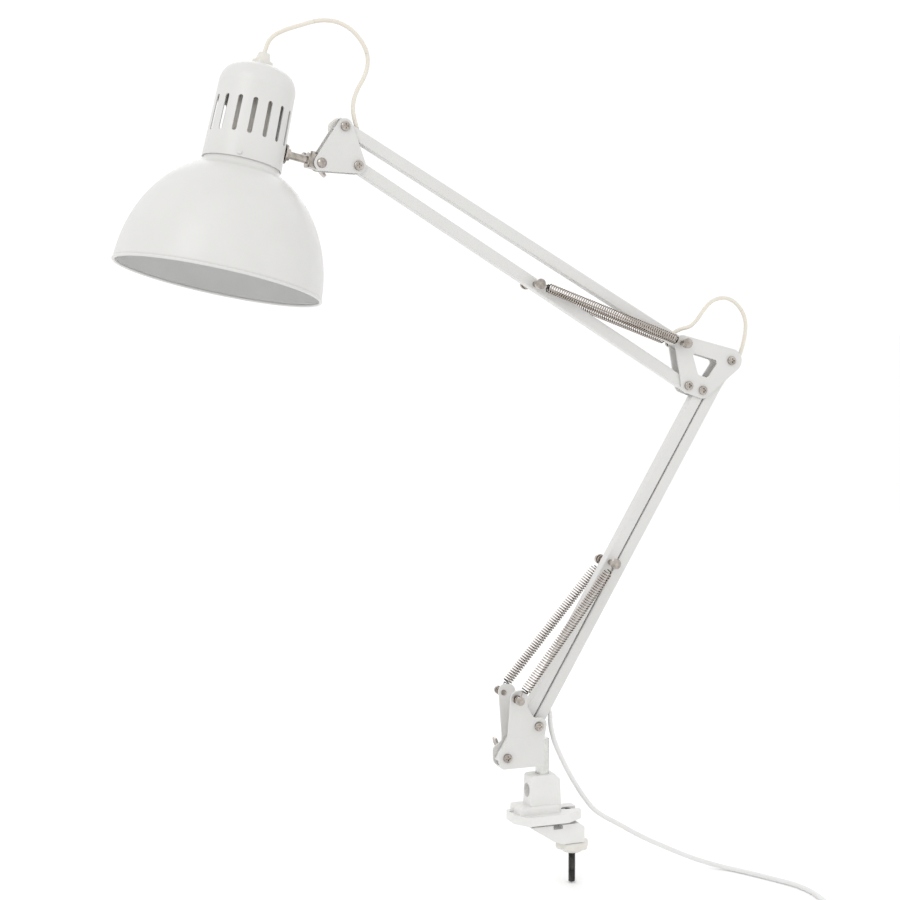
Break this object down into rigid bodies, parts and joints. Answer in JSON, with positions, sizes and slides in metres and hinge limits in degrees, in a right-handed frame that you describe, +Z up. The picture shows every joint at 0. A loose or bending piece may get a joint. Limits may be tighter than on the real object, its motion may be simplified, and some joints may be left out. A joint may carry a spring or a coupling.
{
  "type": "swing arm desk lamp",
  "caption": "White swing arm desk lamp with balance springs, slotted bell shade and a table clamp.",
  "frame": {"origin": "swivel axis on the clamp face that lies on the table top", "axes": "+Z up along the swivel pin, +X from the swivel towards the elbow, the arms move in the XZ plane, -Y is the near side"},
  "size_m": [0.5865, 0.3271, 0.7475],
  "materials": {
    "white_steel": "satin",
    "white_cast": "satin",
    "nickel": "satin",
    "zinc": "satin",
    "black_steel": "satin",
    "white_plastic": "gloss",
    "nylon": "matte",
    "brass": "satin",
    "cream_cord": "matte",
    "white_cord": "matte"
  },
  "bodies": {
    "clamp": {"clamp_block": "white_cast", "clamp_hook_rod": "black_steel"},
    "jaw": {"clamp_jaw": "white_cast"},
    "knob": {"clamp_knob": "white_plastic", "clamp_knob_nut": "nickel"},
    "yoke": {"yoke_bracket": "white_steel", "swivel_pin": "zinc", "yoke_pivot_screws": "nickel", "yoke_lock_nut": "nickel", "yoke_spacers": "nylon", "yoke_spring_studs": "nickel", "mains_cord": "white_cord", "mains_cord_coil": "white_cord", "mains_plug": "white_cord"},
    "yoke_nut": {"yoke_wing_nut": "nickel"},
    "lower_rear": {"lower_rear_tube": "white_steel", "cord_in_lower_arm": "cream_cord"},
    "lower_front": {"lower_front_tube": "white_steel", "lower_spring_pin": "nickel"},
    "lower_spring_body": {"lower_springs": "nickel"},
    "lower_spring_end": {"lower_spring_end_hooks": "nickel"},
    "elbow": {"elbow_near_plate": "white_steel", "elbow_far_plate": "white_steel", "elbow_pivot_screws": "nickel", "elbow_lock_nuts": "nickel", "elbow_washers": "nylon", "elbow_spring_pin": "nickel", "elbow_cord_lower": "cream_cord"},
    "upper_top": {"upper_top_tube": "white_steel", "cord_in_upper_arm": "cream_cord", "elbow_cord_upper": "cream_cord"},
    "upper_bottom": {"upper_bottom_tube": "white_steel", "upper_spring_pin": "nickel"},
    "upper_spring_body": {"upper_springs": "nickel"},
    "upper_spring_end": {"upper_spring_end_hooks": "nickel"},
    "head": {"head_near_plate": "white_steel", "head_far_plate": "white_steel", "head_pivot_screws": "nickel", "head_lock_nut": "nickel", "head_washers": "nylon", "knuckle_bolt": "nickel", "head_cord_lower": "cream_cord"},
    "head_knob_body": {"head_knob": "white_plastic"},
    "knuckle_nut": {"knuckle_wing_nut": "nickel"},
    "knuckle": {"knuckle_block": "nickel", "knuckle_clamp_screw": "nickel", "head_cord_middle": "cream_cord"},
    "shade": {"knuckle_rod": "nickel", "rod_flange": "nickel", "rod_lock_nut": "nickel", "rod_washer": "nickel", "shade_bowl": "white_steel", "shade_cap": "white_steel", "cap_rivets": "white_steel", "cord_gland": "white_plastic", "lampholder": "white_plastic", "lampholder_thread_shell": "brass", "lampholder_contact": "brass", "lampholder_nipple": "brass", "head_cord_upper": "cream_cord"}
  },
  "joints": [
    {"name": "jaw_knob_turn", "type": "hinge", "parent": "jaw", "child": "knob", "pos_m": [0.0292, 0, -0.025], "axis": [0, 0, 1], "range_deg": [-1, 9361]},
    {"name": "jaw_slide", "type": "slide", "parent": "clamp", "child": "jaw", "axis": [0, 0, -1], "range_m": [0, 0.026]},
    {"name": "base_swivel", "type": "hinge", "parent": "clamp", "child": "yoke", "pos_m": [0, 0, 0.03], "axis": [0, 0, 1], "continuous": true},
    {"name": "yoke_wing_nut_turn", "type": "hinge", "parent": "yoke", "child": "yoke_nut", "pos_m": [-0.03625, 0, 0.05988], "axis": [0, 1, 0], "continuous": true},
    {"name": "lower_arm_tilt", "type": "hinge", "parent": "yoke", "child": "lower_rear", "pos_m": [-0.0075, 0, 0.0861], "axis": [0, -1, 0], "range_deg": [-1.5, 65], "deforming": ["mains_cord"]},
    {"name": "lower_front_tilt", "type": "hinge", "parent": "yoke", "child": "lower_front", "pos_m": [-0.03625, 0, 0.05988], "axis": [0, -1, 0], "range_deg": [-2.5, 66]},
    {"name": "elbow_level", "type": "hinge", "parent": "lower_rear", "child": "elbow", "pos_m": [0.18049, 0, 0.40397], "axis": [0, -1, 0], "range_deg": [-66, 2.5], "deforming": ["elbow_cord_lower"]},
    {"name": "lower_spring_swing", "type": "hinge", "parent": "yoke", "child": "lower_spring_body", "pos_m": [-0.0315, 0, 0.1134], "axis": [0, -1, 0], "range_deg": [-3, 87.64]},
    {"name": "lower_spring_stretch", "type": "slide", "parent": "lower_spring_body", "child": "lower_spring_end", "axis": [0.638, 0, 0.7701], "range_m": [-0.0005, 0.00844], "deforming": ["lower_springs", "lower_spring_end_hooks"]},
    {"name": "upper_arm_tilt", "type": "hinge", "parent": "elbow", "child": "upper_top", "pos_m": [0.1309, 0, 0.42], "axis": [0, -1, 0], "range_deg": [-12, 45], "deforming": ["elbow_cord_upper"]},
    {"name": "upper_bottom_tilt", "type": "hinge", "parent": "elbow", "child": "upper_bottom", "pos_m": [0.1374, 0, 0.3821], "axis": [0, -1, 0], "range_deg": [-13.17, 46.63]},
    {"name": "upper_spring_swing", "type": "hinge", "parent": "elbow", "child": "upper_spring_body", "pos_m": [0.1309, 0, 0.42], "axis": [0, -1, 0], "range_deg": [-13.75, 48.81]},
    {"name": "upper_spring_stretch", "type": "slide", "parent": "upper_spring_body", "child": "upper_spring_end", "axis": [-0.9394, 0, 0.3428], "range_m": [-0.00857, 0.02938], "deforming": ["upper_springs", "upper_spring_end_hooks"]},
    {"name": "head_level", "type": "hinge", "parent": "upper_top", "child": "head", "pos_m": [-0.1812, 0, 0.5997], "axis": [0, -1, 0], "range_deg": [-55.55, 15.55], "deforming": ["head_cord_lower"]},
    {"name": "head_knob_turn", "type": "hinge", "parent": "head", "child": "head_knob_body", "pos_m": [-0.1812, 0, 0.5997], "axis": [0, 1, 0], "continuous": true},
    {"name": "head_tilt", "type": "hinge", "parent": "head", "child": "knuckle", "pos_m": [-0.2013, 0, 0.5694], "axis": [0, -1, 0], "range_deg": [-45, 40], "deforming": ["head_cord_middle"]},
    {"name": "knuckle_wing_nut_turn", "type": "hinge", "parent": "head", "child": "knuckle_nut", "pos_m": [-0.2013, 0, 0.5694], "axis": [0, 1, 0], "continuous": true},
    {"name": "shade_roll", "type": "hinge", "parent": "knuckle", "child": "shade", "pos_m": [-0.2013, 0, 0.5694], "axis": [0.9734, 0, -0.2292], "range_deg": [-75, 75], "deforming": ["head_cord_upper"]}
  ],
  "couplings": [
    {"joint": "jaw_knob_turn", "follows": "jaw_slide", "rad_per_m": 6283.2},
    {"joint": "lower_front_tilt", "follows": "lower_arm_tilt", "ratio": 1},
    {"joint": "elbow_level", "follows": "lower_arm_tilt", "ratio": -1},
    {"joint": "lower_spring_swing", "follows": "lower_arm_tilt", "ratio": 1.333},
    {"joint": "lower_spring_stretch", "follows": "lower_arm_tilt", "m_per_rad": 0.007},
    {"joint": "upper_bottom_tilt", "follows": "upper_arm_tilt", "ratio": 1.0141},
    {"joint": "upper_spring_swing", "follows": "upper_arm_tilt", "ratio": 1.0625},
    {"joint": "upper_spring_stretch", "follows": "upper_arm_tilt", "m_per_rad": 0.03614},
    {"joint": "head_level", "follows": "upper_arm_tilt", "ratio": -1.2123}
  ]
}
